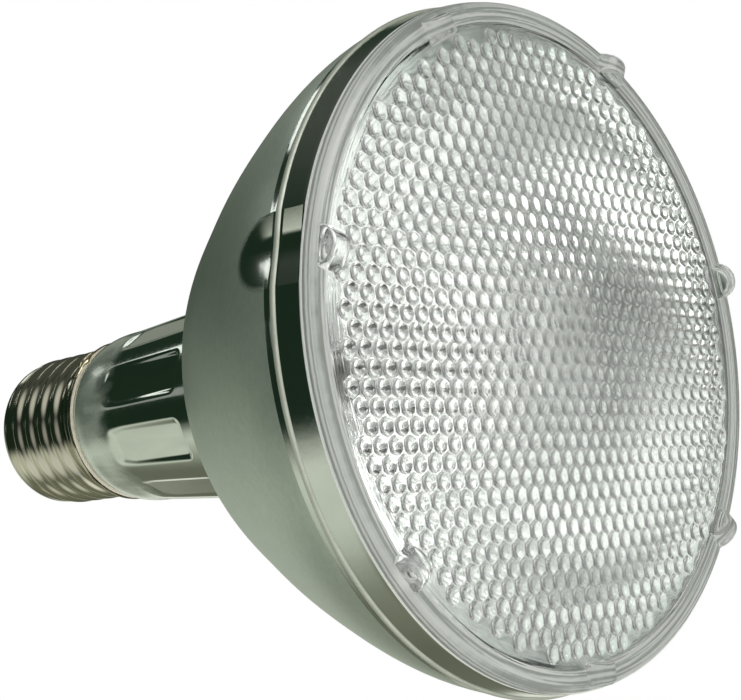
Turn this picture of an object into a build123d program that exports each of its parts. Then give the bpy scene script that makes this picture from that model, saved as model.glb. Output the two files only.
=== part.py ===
from build123d import *
import os
from math import atan, cos, degrees, pi, radians, sin, sqrt, tan

# Reflector metal halide lamp with a long neck and a medium Edison screw base.
# Millimetres. The lamp stands on the lugs of its front lens, axis on Z,
# screw base upwards. z = 0 is the plane through the lug tips. Heights are drawn
# from a datum a little below that plane, and each piece is saved set down on it.

# ---------------------------------------------------------------- dimensions
OVERALL_Z = 120.65         # lug tips to the solder on the centre contact
TIP_Z = 0.85               # lug tips above the drawing datum
TOP_Z = TIP_Z + OVERALL_Z
RIM_R = 47.5               # reflector rim band
SEAM_Z = 5.3               # rim face of the reflector
SEAL_T = 0.25              # bond between reflector and lens
BEAD_Z = 9.45              # moulding bead below the rim band
BEAD_H = 0.35
MARK_COUNT = 3             # moulded recesses across the rim
MARK_ANGLE = -69.3         # degrees, middle of the first recess
MARK_W = 9.7
MARK_DEPTH = 0.55
MARK_Z = 10.4              # from here the recess follows the bowl and closes

LENS_FACE_Z = 3.0          # flat ring around the stippled field
LENS_CROWN = 0.7           # how much the middle of the lens stands forward
LENS_T = 1.8               # glass of the lens without its stipple
STIPPLE_R = 42.9           # radius of the stippled field
LUG_COUNT = 7
LUG_ANGLE = -69.9          # degrees, first lug
LUG_W = 5.3
LUG_H = LENS_FACE_Z - TIP_Z
LUG_R0, LUG_R1 = 43.1, 46.3

NECK_R60 = 16.49           # neck radius at z = 60
NECK_TAPER = 0.0678        # radius lost for each millimetre towards the base
PANEL_COUNT = 9
PANEL_ANGLE = -66.4        # degrees, middle of the first panel
PANEL_Z0, PANEL_Z1 = 65.0, 85.2
PANEL_W = 7.6
PANEL_D0, PANEL_D1 = 0.95, 0.5   # sunk deeper at the bowl end
PANEL_CORNER = 1.7

THREAD_PITCH = 3.629       # seven turns to the inch
CREST_R = 13.15
ROOT_R = 12.2
THREAD_RHO = 1.15          # radius of the rolled crest
SHEET_T = 0.32
SHELL_Z0 = 95.3            # open mouth of the shell
MOUTH_R = 13.9
THREAD_Z0, THREAD_Z1 = 100.6, 113.7
THREAD_AT = 98.93          # height of a crest at angle 0
SHELL_Z1 = 117.9
SIDE_ANGLE = -35.6         # degrees, solder at the mouth of the shell

ARC_Z = 47.0               # middle of the arc, near the focus of the mirror
ENV_R = 6.5                # quartz envelope of the burner
ENV_WALL = 1.1
PINCH_W, PINCH_T = 13.0, 4.6
PINCH_Z0, PINCH_Z1 = 65.0, 79.0
PIN_X = 3.0
WIRE_R = 0.35              # wires inside the burner
LEAD_R = 0.45              # wires outside the burner

os.makedirs("parts", exist_ok=True)


def save(name, shape):
    shape = Pos(0, 0, -TIP_Z) * shape
    shape.label = name
    export_step(shape, "parts/" + name + ".step")
    vols = [round(s.volume, 2) for s in shape.solids()]
    print(name, len(vols), "solids", vols, "valid", shape.is_valid)


def turned(*edges):
    """Solid of revolution about Z from a closed chain of edges in the XZ plane."""
    return revolve(make_face(edges), Axis.Z, 360)


def P(r, z):
    return (r, 0, z)


def poly(*pts):
    return Polyline(*[P(*p) for p in pts])


def ring(r0, r1, z0, z1):
    return turned(poly((r0, z0), (r1, z0), (r1, z1), (r0, z1), (r0, z0)))


def rod(r, z0, z1):
    return Pos(0, 0, (z0 + z1) / 2) * Cylinder(r, z1 - z0)


def wire(points, radii, r):
    """Round wire along straight runs joined by tangent arcs."""
    path = FilletPolyline(*points, radius=radii)
    start = Plane(origin=path @ 0, z_dir=path % 0)
    w = sweep(start * Circle(r), path=path)
    want = pi * r * r * path.length
    print("  wire", round(w.volume, 2), "section x length", round(want, 2))
    return w


def neck_r(z):
    return NECK_R60 - NECK_TAPER * (z - 60.0)


# ------------------------------------------------------------ reflector body
# Pressed hard glass: bowl, panelled neck and the plain end that goes into the
# screw shell are one piece. The mirror is a coating on its inside.
outer = Spline(
    P(RIM_R, BEAD_Z + 0.5), P(46.95, 14.0), P(45.1, 19.9), P(42.4, 26.0),
    P(39.0, 32.7), P(35.1, 39.2), P(31.0, 45.5), P(27.0, 50.0), P(23.0, 53.4),
    P(19.4, 55.6), P(17.3, 57.4), P(neck_r(61.0), 61.0),
    tangents=((-0.03, 0, 1), (-NECK_TAPER, 0, 1)),
)
inner = Spline(
    P(14.3, 61.0), P(14.9, 56.6), P(17.0, 53.9), P(20.0, 51.9), P(23.5, 49.4),
    P(27.0, 46.2), P(31.0, 41.4), P(35.0, 35.2), P(38.6, 29.0), P(41.6, 22.4),
    P(43.5, 15.6), P(44.2, 9.8),
    tangents=((0.02, 0, -1), (0.01, 0, -1)),
)
collar = Spline(
    P(neck_r(86.5), 86.5), P(14.62, 89.5), P(14.2, 92.6), P(13.3, 94.9),
    tangents=((-NECK_TAPER, 0, 1), (-0.6, 0, 1)),
)
reflector = turned(
    poly((44.2, 9.8), (44.2, SEAM_Z), (RIM_R - 0.3, SEAM_Z), (RIM_R, BEAD_Z - 0.5)),
    ThreePointArc(P(RIM_R, BEAD_Z - 0.5), P(RIM_R + BEAD_H, BEAD_Z), P(RIM_R, BEAD_Z + 0.5)),
    outer,
    Line(P(neck_r(61.0), 61.0), P(neck_r(86.5), 86.5)),
    collar,
    poly((13.3, 94.9), (12.1, 96.3), (10.5, 98.2), (10.5, 104.0), (9.0, 104.0),
         (9.0, 98.4), (10.9, 95.6), (12.3, 91.5), (12.45, 87.0), (14.3, 61.0)),
    inner,
)
pz = (PANEL_Z0 + PANEL_Z1) / 2
p0, p1 = neck_r(PANEL_Z0) - PANEL_D0, neck_r(PANEL_Z1) - PANEL_D1
pd = (p0 + p1) / 2
beta = atan((p0 - p1) / (PANEL_Z1 - PANEL_Z0))
for i in range(PANEL_COUNT):
    a = radians(PANEL_ANGLE + 360.0 / PANEL_COUNT * i)
    face = Plane(
        origin=(pd * cos(a), pd * sin(a), pz),
        x_dir=(-sin(a), cos(a), 0),
        z_dir=(cos(beta) * cos(a), cos(beta) * sin(a), sin(beta)),
    )
    pocket = extrude(face * RectangleRounded(PANEL_W, PANEL_Z1 - PANEL_Z0, PANEL_CORNER), 3.0)
    reflector = reflector - pocket

# Shallow recesses across the rim band. The bead runs on over them.
gamma = radians(11.9)
for i in range(MARK_COUNT):
    a = radians(MARK_ANGLE + 360.0 / MARK_COUNT * i)
    mr = RIM_R - MARK_DEPTH
    band = Plane(origin=(mr * cos(a), mr * sin(a), MARK_Z - 2.75), x_dir=(-sin(a), cos(a), 0),
                 z_dir=(cos(a), sin(a), 0))
    bowl = Plane(origin=(mr * cos(a), mr * sin(a), MARK_Z), x_dir=(-sin(a), cos(a), 0),
                 z_dir=(cos(gamma) * cos(a), cos(gamma) * sin(a), sin(gamma)))
    mark = extrude(band * Rectangle(MARK_W, 5.5), 3.0) + extrude(bowl * Ellipse(MARK_W / 2, 7.0), 3.0)
    reflector = reflector - (mark - rod(60, BEAD_Z - 0.5, BEAD_Z + 0.5))

# ------------------------------------------------------------------ the lens
# Pressed glass dish. The stipple on its inner face is finer than this model.
lens_top = SEAM_Z - SEAL_T
crown_z = LENS_FACE_Z - LENS_CROWN
lens = turned(
    poly((0, crown_z + LENS_T), (0, crown_z)),
    Spline(P(0, crown_z), P(22.0, crown_z + LENS_CROWN * 0.25), P(43.4, LENS_FACE_Z),
           tangents=((1, 0, 0), (1, 0, 0.03))),
    Line(P(43.4, LENS_FACE_Z), P(45.4, LENS_FACE_Z)),
    ThreePointArc(P(45.4, LENS_FACE_Z), P(46.45, LENS_FACE_Z + 0.33), P(46.85, LENS_FACE_Z + 0.95)),
    poly((46.85, LENS_FACE_Z + 0.95), (RIM_R - 0.3, lens_top), (44.2, lens_top),
         (STIPPLE_R + 0.8, LENS_FACE_Z + LENS_T)),
    Spline(P(STIPPLE_R + 0.8, LENS_FACE_Z + LENS_T),
           P(22.0, crown_z + LENS_CROWN * 0.25 + LENS_T), P(0, crown_z + LENS_T),
           tangents=((-1, 0, -0.03), (-1, 0, 0))),
)
lug_rho = (LUG_W ** 2 / 4 + LUG_H ** 2) / (2 * LUG_H)
for i in range(LUG_COUNT):
    rib = Pos((LUG_R0 + LUG_R1) / 2, 0, TIP_Z + lug_rho) * (Rot(0, 90, 0) * Cylinder(lug_rho, LUG_R1 - LUG_R0))
    rib = fillet(rib.edges().filter_by(GeomType.CIRCLE), 0.45)
    rib = rib & (Pos(44, 0, TIP_Z + 1.45) * Box(20, 20, 2.9))
    lens = lens + Rot(0, 0, LUG_ANGLE + 360.0 / LUG_COUNT * i) * rib

lens_seal = ring(44.3, RIM_R - 0.35, lens_top, SEAM_Z)

# ------------------------------------------------------------- screw base
# Shell rolled from thin sheet: flared mouth, Edison thread, turned-in end.
# The thread stands on the outside, the inside is left plain.
def shell_outline(offset):
    """Filled outline of the shell without its thread, drawn in by an offset."""
    start = SHELL_Z0 - (1 if offset else 0)
    return turned(poly(
        (0, start), (MOUTH_R - offset, start),
        (MOUTH_R - offset, SHELL_Z0 + 0.5), (13.3 - offset, 97.0), (ROOT_R - offset, 99.2),
        (ROOT_R - offset, 114.3), (12.7 - offset, 115.0), (12.6 - offset, 116.0),
        (12.0 - offset, SHELL_Z1 - 0.8 - offset * 0.6), (10.8 - offset, SHELL_Z1 - offset),
        (0, SHELL_Z1 - offset), (0, start)))


helix = Helix(THREAD_PITCH, 6 * THREAD_PITCH,
              CREST_R - THREAD_RHO, center=(0, 0, THREAD_AT - THREAD_PITCH))
section = Plane(origin=helix @ 0, x_dir=(0, 0, 1), z_dir=helix % 0) * Circle(THREAD_RHO)
crest = sweep(section, path=helix, is_frenet=True) & rod(20, THREAD_Z0 - 0.4, THREAD_Z1 + 0.4)
shell = (shell_outline(0.0) + crest) - shell_outline(SHEET_T) - rod(9.6, 110, 120)
notch = Rot(0, 0, SIDE_ANGLE) * (Pos(13.5, 0, SHELL_Z0 + 1.1) * Box(3.4, 1.5, 3.4))
shell = shell - notch

# Black glass between shell and contact, keyed through the turned-in end.
insulator = turned(poly(
    (1.2, 114.6), (8.6, 114.6), (9.4, 115.4), (9.4, SHELL_Z1 - SHEET_T - 0.02),
    (9.55, SHELL_Z1 - SHEET_T), (9.55, SHELL_Z1 + 0.02), (10.4, SHELL_Z1 + 0.02),
    (10.2, SHELL_Z1 + 0.6), (5.9, 119.75), (5.0, 119.75), (5.0, 119.35), (1.2, 119.35),
    (1.2, 114.6)))
contact = turned(poly(
    (0.75, 119.35), (4.95, 119.35), (4.95, 120.15), (4.5, 120.5), (2.4, 120.7),
    (0.75, 120.7), (0.75, 119.35)))
solder = turned(
    poly((0, 120.7), (2.35, 120.7)),
    Spline(P(2.35, 120.7), P(1.5, TOP_Z - 0.17), P(0, TOP_Z),
           tangents=((-0.4, 0, 1), (-1, 0, 0))),
    Line(P(0, TOP_Z), P(0, 120.7)),
)

# ------------------------------------------------------------------- burner
# Quartz envelope: tube, domed end with the exhaust tip, flat pinch.
env_i = ENV_R - ENV_WALL
tube = turned(
    poly((0, PINCH_Z0 + 1.2), (0, 22.4)),
    ThreePointArc(P(0, 22.4), P(1.0, 22.9), P(1.25, 24.0)),
    Spline(P(1.25, 24.0), P(3.6, 25.2), P(5.7, 27.8), P(ENV_R, 32.0),
           tangents=((0.6, 0, 1), (0, 0, 1))),
    poly((ENV_R, 32.0), (ENV_R, PINCH_Z0 - 2.2), (5.2, PINCH_Z0 + 1.2), (0, PINCH_Z0 + 1.2)),
)
cavity = turned(
    Line(P(0, PINCH_Z0 - 0.4), P(0, 25.7)),
    Spline(P(0, 25.7), P(2.8, 26.6), P(4.7, 28.9), P(env_i, 32.0),
           tangents=((1, 0, 0.05), (0, 0, 1))),
    poly((env_i, 32.0), (env_i, PINCH_Z0 - 2.8), (3.9, PINCH_Z0 - 0.4), (0, PINCH_Z0 - 0.4)),
)
pinch = Pos(0, 0, (PINCH_Z0 - 1 + PINCH_Z1) / 2) * Box(PINCH_W, PINCH_T, PINCH_Z1 - PINCH_Z0 + 1)
pinch = fillet(pinch.edges().filter_by(Axis.Z), 1.0)
envelope = tube + pinch - cavity

# Ceramic arc tube: bulged chamber between two capillaries, sintered as one.
CAP_R, CAP_BORE = 1.25, 0.5
CH_HALF, CH_R, CH_WALL = 4.6, 3.7, 0.75
CAP_Z0, CAP_Z1 = ARC_Z - 13.2, ARC_Z + 13.2
arc_out = turned(
    poly((0, CAP_Z1), (0, CAP_Z0), (CAP_R, CAP_Z0), (CAP_R, ARC_Z - CH_HALF - 1.1)),
    Spline(P(CAP_R, ARC_Z - CH_HALF - 1.1), P(2.5, ARC_Z - CH_HALF + 0.7), P(CH_R, ARC_Z),
           P(2.5, ARC_Z + CH_HALF - 0.7), P(CAP_R, ARC_Z + CH_HALF + 1.1),
           tangents=((0.35, 0, 1), (-0.35, 0, 1))),
    poly((CAP_R, ARC_Z + CH_HALF + 1.1), (CAP_R, CAP_Z1), (0, CAP_Z1)),
)
chamber = turned(
    Line(P(0, ARC_Z + CH_HALF - 0.4), P(0, ARC_Z - CH_HALF + 0.4)),
    Spline(P(0, ARC_Z - CH_HALF + 0.4), P(1.75, ARC_Z - CH_HALF + 1.3), P(CH_R - CH_WALL, ARC_Z),
           P(1.75, ARC_Z + CH_HALF - 1.3), P(0, ARC_Z + CH_HALF - 0.4)),
)
arc_tube = arc_out - chamber - rod(CAP_BORE, CAP_Z0 - 1, CAP_Z1 + 1)


def electrode(sign):
    """Lead through the capillary, rod and wound tip inside the chamber."""
    pts = [(0, -16.0), (0.42, -16.0), (0.42, -5.2), (0.24, -4.9), (0.24, -3.9),
           (0.5, -3.7), (0.5, -2.4), (0.24, -2.3), (0.24, -1.9), (0, -1.9), (0, -16.0)]
    e = turned(poly(*[(r, ARC_Z + sign * z) for r, z in pts]))
    return e


electrode_front = electrode(1)
electrode_back = electrode(-1)
frit = [
    turned(poly((0.42, CAP_Z0), (1.15, CAP_Z0), (0.75, CAP_Z0 - 1.3), (0.42, CAP_Z0 - 1.3), (0.42, CAP_Z0))),
    turned(poly((0.42, CAP_Z1), (1.15, CAP_Z1), (0.75, CAP_Z1 + 1.3), (0.42, CAP_Z1 + 1.3), (0.42, CAP_Z1))),
]

# Wires inside the envelope. The long one carries the front end of the arc tube.
zf = ARC_Z - 16.0 - WIRE_R
zb = ARC_Z + 16.0 + WIRE_R
return_wire = wire(
    [(-0.8, 0, zf), (4.55, 0, zf), (4.55, 0, 59.5), (PIN_X, 0, 64.5), (PIN_X, 0, 68.6)],
    [1.0, 2.5, 2.5], WIRE_R)
support_wire = wire([(0.7, 0, zb), (-PIN_X, 0, zb), (-PIN_X, 0, 68.6)], [0.9], WIRE_R)
getter = Pos(4.55 + WIRE_R + 0.13, 0, 54.0) * Box(0.24, 1.5, 4.2)
foils = [Pos(x, 0, 72.1) * Box(2.2, 0.1, 6.9) for x in (-PIN_X, PIN_X)]
pins = [Pos(x, 0, 0) * rod(LEAD_R, 75.6, 84.0) for x in (-PIN_X, PIN_X)]
for w in [return_wire, support_wire] + foils + pins:
    envelope = envelope - w

# Cement that holds the pinch in the neck, and the bright disc in front of it.
def neck_bore(z):
    return 14.3 + (12.45 - 14.3) * (z - 61.0) / (87.0 - 61.0)


pinch_cement = turned(poly((0, 69.5), (neck_bore(69.5) - 0.03, 69.5), (neck_bore(77.8) - 0.03, 77.8), (0, 77.8), (0, 69.5)))
pinch_cement = pinch_cement - (Pos(0, 0, 73) * fillet(Box(PINCH_W, PINCH_T, 20).edges().filter_by(Axis.Z), 1.0))
heat_shield = turned(poly(
    (6.7, 59.6), (13.9, 59.6), (14.22, 59.9), (14.22, 61.0), (neck_bore(62.4) - 0.05, 62.4),
    (neck_bore(62.4) - 0.4, 62.4), (13.85, 61.0), (13.85, 60.0), (6.7, 60.0), (6.7, 59.6)))

# ------------------------------------------------------------------- leads
crimps = [Pos(x, 0, 0) * ring(LEAD_R, 1.1, 80.4, 87.4) for x in (-PIN_X, PIN_X)]
center_lead = wire(
    [(-PIN_X, 0, 84.05), (-PIN_X, 0, 95.0), (0, 0, 107.0), (0, 0, 120.7)],
    [14.0, 14.0], LEAD_R)
ca, sa = cos(radians(SIDE_ANGLE)), sin(radians(SIDE_ANGLE))
def at(r, z):
    return (r * ca, r * sa, z)


side_lead = wire(
    [(PIN_X, 0, 84.05), (PIN_X, 0, 92.0), at(7.6, 99.5), at(7.6, 106.0), at(11.15, 106.0), at(11.15, 98.9), at(12.35, 96.75)],
    [6.0, 3.0, 1.4, 1.4, 2.0], 0.4)
lead_sleeve = ring(LEAD_R + 0.02, 1.05, 108.6, 117.8)

# Cement between the neck end and the shell, with the side lead in it.
basing_cement = turned(poly(
    (13.35, 95.35), (13.5, 95.5), (12.9, 96.95), (11.83, 99.1), (11.83, 103.2),
    (10.52, 103.2), (10.52, 98.21), (12.12, 96.31), (13.2, 95.06), (13.35, 95.35)))
basing_cement = basing_cement - side_lead - notch

# Solder bead at the mouth of the shell, where the side lead ends.
bead = Rot(0, 0, SIDE_ANGLE) * (Pos(13.45, 0, 96.1) * Sphere(1.35))
side_solder = bead - shell - reflector - side_lead - basing_cement
side_solder = max(side_solder.solids(), key=lambda s: s.volume)

# -------------------------------------------------------------------- write
save("reflector_body", reflector)
save("front_lens", lens)
save("lens_seal", lens_seal)
save("screw_shell", shell)
save("base_insulator", insulator)
save("center_contact", contact)
save("contact_solder", solder)
save("side_solder", side_solder)
save("basing_cement", basing_cement)
save("burner_envelope", envelope)
save("arc_tube", arc_tube)
save("front_electrode", electrode_front)
save("back_electrode", electrode_back)
save("frit_seals", Compound(children=frit))
save("return_wire", return_wire)
save("support_wire", support_wire)
save("getter_strip", getter)
save("pinch_foils", Compound(children=foils))
save("pinch_pins", Compound(children=pins))
save("pinch_cement", pinch_cement)
save("heat_shield", heat_shield)
save("crimp_sleeves", Compound(children=crimps))
save("center_lead", center_lead)
save("side_lead", side_lead)
save("lead_sleeve", lead_sleeve)
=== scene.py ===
import math

import bpy
import numpy as np
from mathutils import Matrix, Vector
from mathutils.geometry import delaunay_2d_cdt

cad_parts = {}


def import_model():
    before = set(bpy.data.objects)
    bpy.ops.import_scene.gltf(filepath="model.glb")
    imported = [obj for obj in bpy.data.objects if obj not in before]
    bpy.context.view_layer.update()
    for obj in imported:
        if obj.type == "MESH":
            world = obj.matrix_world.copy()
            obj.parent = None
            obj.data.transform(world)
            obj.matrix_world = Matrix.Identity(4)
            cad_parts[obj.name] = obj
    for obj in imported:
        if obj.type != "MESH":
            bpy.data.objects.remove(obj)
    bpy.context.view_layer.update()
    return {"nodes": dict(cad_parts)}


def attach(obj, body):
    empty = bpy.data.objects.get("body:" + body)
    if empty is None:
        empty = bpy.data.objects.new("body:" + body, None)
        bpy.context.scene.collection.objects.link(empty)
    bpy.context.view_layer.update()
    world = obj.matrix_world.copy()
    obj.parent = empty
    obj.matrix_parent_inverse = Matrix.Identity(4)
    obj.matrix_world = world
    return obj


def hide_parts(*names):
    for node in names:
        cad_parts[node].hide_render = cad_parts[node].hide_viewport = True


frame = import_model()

NODES = frame["nodes"]
SCENE = bpy.context.scene
MM = 0.001
LIFT = 0.85      # drawing heights are taken from a datum this far below the lug tips
TAU = 2.0 * math.pi
rad = math.radians

# --------------------------------------------------------------------- camera
RIGHT = Vector((-0.1833249, 0.6618339, -0.72688918))
UP = Vector((0.98293446, 0.11195488, -0.14596562))
BACK = Vector((-0.01522621, -0.74124355, -0.67106346))
lens_data = bpy.data.cameras.new("camera")
lens_data.sensor_fit = "HORIZONTAL"
lens_data.sensor_width = 36.0
lens_data.lens = 1588.27 / 741.0 * 36.0
lens_data.shift_x = -0.0018
lens_data.shift_y = 0.0002
lens_data.clip_start = 0.005
lens_data.dof.use_dof = False
camera = bpy.data.objects.new("camera", lens_data)
SCENE.collection.objects.link(camera)
place = Matrix((RIGHT, UP, BACK)).transposed().to_4x4()
place.translation = Vector((0.0, -176.6986, -122.5299 - LIFT)) * MM
camera.matrix_world = place
SCENE.camera = camera


def toward(right, up, back):
    """Unit vector from its shares along the photograph's right, up and viewer directions."""
    return (RIGHT * right + UP * up + BACK * back).normalized()


# ------------------------------------------------------------- mesh utilities
def spline(points, start, end, count):
    """Points along the cubic curve through the given ones, with set end directions."""
    p = np.array(points, float)
    h = np.linalg.norm(np.diff(p, axis=0), axis=1)
    s = np.concatenate([[0.0], np.cumsum(h)])
    k = len(p)
    a, b = np.zeros((k, k)), np.zeros((k, 2))
    a[0, 0] = a[-1, -1] = 1.0
    b[0] = np.array(start, float) / np.linalg.norm(start)
    b[-1] = np.array(end, float) / np.linalg.norm(end)
    for i in range(1, k - 1):
        a[i, i - 1], a[i, i], a[i, i + 1] = h[i], 2 * (h[i - 1] + h[i]), h[i - 1]
        b[i] = 3 * (h[i] * (p[i] - p[i - 1]) / h[i - 1] + h[i - 1] * (p[i + 1] - p[i]) / h[i])
    m = np.linalg.solve(a, b)
    u = np.linspace(0.0, s[-1], count)
    j = np.clip(np.searchsorted(s, u, side="right") - 1, 0, k - 2)
    t = ((u - s[j]) / h[j])[:, None]
    hj = h[j][:, None]
    return ((2 * t**3 - 3 * t**2 + 1) * p[j] + (t**3 - 2 * t**2 + t) * hj * m[j]
            + (3 * t**2 - 2 * t**3) * p[j + 1] + (t**3 - t**2) * hj * m[j + 1])


def run(a, b, count):
    """Points on a straight run, without its last one."""
    t = np.linspace(0.0, 1.0, count + 1)[:-1, None]
    return np.array(a, float) * (1 - t) + np.array(b, float) * t


def arc(cx, cz, r, a0, a1, count):
    t = np.radians(np.linspace(a0, a1, count))
    return np.column_stack([cx + r * np.cos(t), cz + r * np.sin(t)])


def step(lo, hi, x):
    t = np.clip((x - lo) / (hi - lo), 0.0, 1.0)
    return t * t * (3 - 2 * t)


def wobble(theta, seed, terms=9, low=2):
    """Smooth closed variation around a circle, about -1 to 1, the same each run."""
    rng = np.random.default_rng(seed)
    out = np.zeros_like(theta)
    for k in range(low, low + terms):
        out += rng.normal() / math.sqrt(k) * np.cos(k * theta + rng.uniform(0, TAU))
    return out / 1.5


def make(name, verts, faces, mats, index=None, sharp=None):
    """Mesh object from millimetres above the drawing datum."""
    me = bpy.data.meshes.new(name)
    me.from_pydata(((np.asarray(verts, float) - (0, 0, LIFT)) * MM).tolist(), [], [list(map(int, f)) for f in faces])
    for m in mats:
        me.materials.append(m)
    if index is not None:
        me.polygons.foreach_set("material_index", np.asarray(index, np.int32))
    me.polygons.foreach_set("use_smooth", np.ones(len(me.polygons), bool))
    if sharp is not None:
        me.set_sharp_from_angle(angle=rad(sharp))
    me.update()
    ob = bpy.data.objects.new(name, me)
    SCENE.collection.objects.link(ob)
    return ob


def lathe(rz, theta, shape=None, closed=True):
    """Vertex grid and quads of a profile turned about Z. shape changes the radii."""
    r = np.repeat(rz[:, :1], len(theta), axis=1)
    z = np.repeat(rz[:, 1:2], len(theta), axis=1)
    if shape is not None:
        r, z = shape(r, z, np.repeat(theta[None, :], len(rz), axis=0))
    v = np.stack([r * np.cos(theta), r * np.sin(theta), z], axis=-1).reshape(-1, 3)
    n, m = len(rz), len(theta)
    i = np.arange(n if closed else n - 1)[:, None]
    j = np.arange(m)[None, :]
    i1, j1 = (i + 1) % n, (j + 1) % m
    q = np.stack([i * m + j, i * m + j1, i1 * m + j1, i1 * m + j], axis=-1).reshape(-1, 4)
    return v, q


def outward(v, f):
    """Quads or triangles turned so that the closed mesh has a positive volume."""
    f = np.asarray(f)
    a, b, c = v[f[:, 0]], v[f[:, 1]], v[f[:, 2]]
    vol = np.einsum("ij,ij->i", a, np.cross(b, c)).sum()
    if f.shape[1] == 4:
        vol += np.einsum("ij,ij->i", a, np.cross(c, v[f[:, 3]])).sum()
    return f if vol > 0 else f[:, ::-1]


# ------------------------------------------------------------------ materials
class Nodes:
    """Short way to put a shader together."""

    def __init__(self, name):
        self.mat = bpy.data.materials.new(name)
        self.mat.use_nodes = True
        self.tree = self.mat.node_tree
        self.tree.nodes.clear()
        self.out = self.add("ShaderNodeOutputMaterial")

    def add(self, kind, **props):
        n = self.tree.nodes.new(kind)
        for k, v in props.items():
            setattr(n, k, v)
        return n

    def link(self, a, b):
        self.tree.links.new(a, b)

    def principled(self, **sockets):
        n = self.add("ShaderNodeBsdfPrincipled")
        for k, v in sockets.items():
            n.inputs[k.replace("_", " ")].default_value = v
        self.link(n.outputs["BSDF"], self.out.inputs["Surface"])
        self.bsdf = n
        return n

    def coords(self, scale=(1, 1, 1)):
        c = self.add("ShaderNodeTexCoord")
        m = self.add("ShaderNodeMapping")
        m.inputs["Scale"].default_value = scale
        self.link(c.outputs["Object"], m.inputs["Vector"])
        return m.outputs["Vector"]

    def noise(self, vec, scale, detail=4.0, rough=0.55, dist=0.0):
        n = self.add("ShaderNodeTexNoise")
        n.inputs["Scale"].default_value = scale
        n.inputs["Detail"].default_value = detail
        n.inputs["Roughness"].default_value = rough
        n.inputs["Distortion"].default_value = dist
        self.link(vec, n.inputs["Vector"])
        return n.outputs["Fac"]

    def ramp(self, fac, *stops):
        n = self.add("ShaderNodeValToRGB")
        e = n.color_ramp.elements
        while len(e) < len(stops):
            e.new(0.5)
        for el, (pos, col) in zip(e, stops):
            el.position = pos
            el.color = (col, col, col, 1) if isinstance(col, (int, float)) else (*col, 1)
        self.link(fac, n.inputs["Fac"])
        return n.outputs["Color"]

    def span(self, fac, lo, hi):
        n = self.add("ShaderNodeMapRange")
        n.inputs["From Min"].default_value = 0.25
        n.inputs["From Max"].default_value = 0.75
        n.inputs["To Min"].default_value = lo
        n.inputs["To Max"].default_value = hi
        self.link(fac, n.inputs["Value"])
        return n.outputs["Result"]

    def bump(self, height, strength, distance, normal=None):
        n = self.add("ShaderNodeBump")
        n.inputs["Strength"].default_value = strength
        n.inputs["Distance"].default_value = distance
        self.link(height, n.inputs["Height"])
        if normal is not None:
            self.link(normal, n.inputs["Normal"])
        return n.outputs["Normal"]


def clear_glass(name, tint=(0.985, 0.995, 0.985), rough=0.0, wave=0.0, rings=0.0):
    s = Nodes(name)
    b = s.principled(Roughness=rough, IOR=1.474, Transmission_Weight=1.0)
    vec = s.coords()
    n1 = s.noise(vec, 210.0, 2.0)
    s.link(s.ramp(n1, (0.3, tuple(0.985 * c for c in tint)), (0.7, tint)), b.inputs["Base Color"])
    normal = s.bump(n1, 1.0, wave)
    if rings:
        c = s.coords((1, 1, 1))
        w = s.add("ShaderNodeTexWave", wave_type="RINGS", rings_direction="Z")
        w.inputs["Scale"].default_value = 260.0
        w.inputs["Distortion"].default_value = 6.0
        w.inputs["Detail"].default_value = 2.0
        w.inputs["Detail Scale"].default_value = 30.0
        s.link(c, w.inputs["Vector"])
        normal = s.bump(w.outputs["Fac"], 1.0, rings, normal)
    s.link(normal, b.inputs["Normal"])
    return s.mat


def edge_glass(name):
    """Fire-polished edge of the lens, drawn into fine rings."""
    s = Nodes(name)
    b = s.principled(IOR=1.474, Transmission_Weight=1.0)
    ring = s.noise(s.coords((0.12, 0.12, 6.0)), 330.0, 4.0, 0.6)
    seed = s.noise(s.coords(), 240.0, 2.0)
    s.link(s.ramp(ring, (0.32, (0.86, 0.89, 0.86)), (0.62, (0.985, 0.995, 0.985))), b.inputs["Base Color"])
    s.link(s.span(ring, 0.02, 0.09), b.inputs["Roughness"])
    s.link(s.bump(ring, 0.4, 0.00004, s.bump(seed, 1.0, 0.000006)), b.inputs["Normal"])
    return s.mat


def bonded_face(name):
    """Bond under the flange of the lens, seen through the glass in rings."""
    s = Nodes(name)
    b = s.principled()
    w = s.add("ShaderNodeTexWave", wave_type="RINGS", rings_direction="Z")
    w.inputs["Scale"].default_value = 330.0
    w.inputs["Distortion"].default_value = 0.9
    w.inputs["Detail"].default_value = 3.0
    w.inputs["Detail Scale"].default_value = 1.6
    s.link(s.coords(), w.inputs["Vector"])
    line = w.outputs["Fac"]
    fine = s.noise(s.coords(), 500.0, 4.0)
    s.link(s.ramp(line, (0.10, (0.46, 0.49, 0.46)), (0.50, (0.76, 0.79, 0.76)), (0.92, (0.95, 0.96, 0.94))),
           b.inputs["Base Color"])
    s.link(s.span(line, 0.10, 0.25), b.inputs["Metallic"])
    s.link(s.span(fine, 0.30, 0.46), b.inputs["Roughness"])
    s.link(s.bump(fine, 0.3, 0.000006), b.inputs["Normal"])
    return s.mat


def metal(name, colour, lo, hi, brush=(1, 1, 1), scale=900.0, bump=0.00001, dirt=0.85):
    s = Nodes(name)
    b = s.principled(Metallic=1.0)
    vec = s.coords(brush)
    fine = s.noise(vec, scale, 6.0, 0.6)
    wide = s.noise(s.coords(), scale * 0.12, 3.0)
    dark = tuple(c * dirt for c in colour)
    s.link(s.ramp(wide, (0.3, dark), (0.65, colour)), b.inputs["Base Color"])
    s.link(s.span(fine, lo, hi), b.inputs["Roughness"])
    s.link(s.bump(fine, 0.5, bump), b.inputs["Normal"])
    return s.mat


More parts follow.
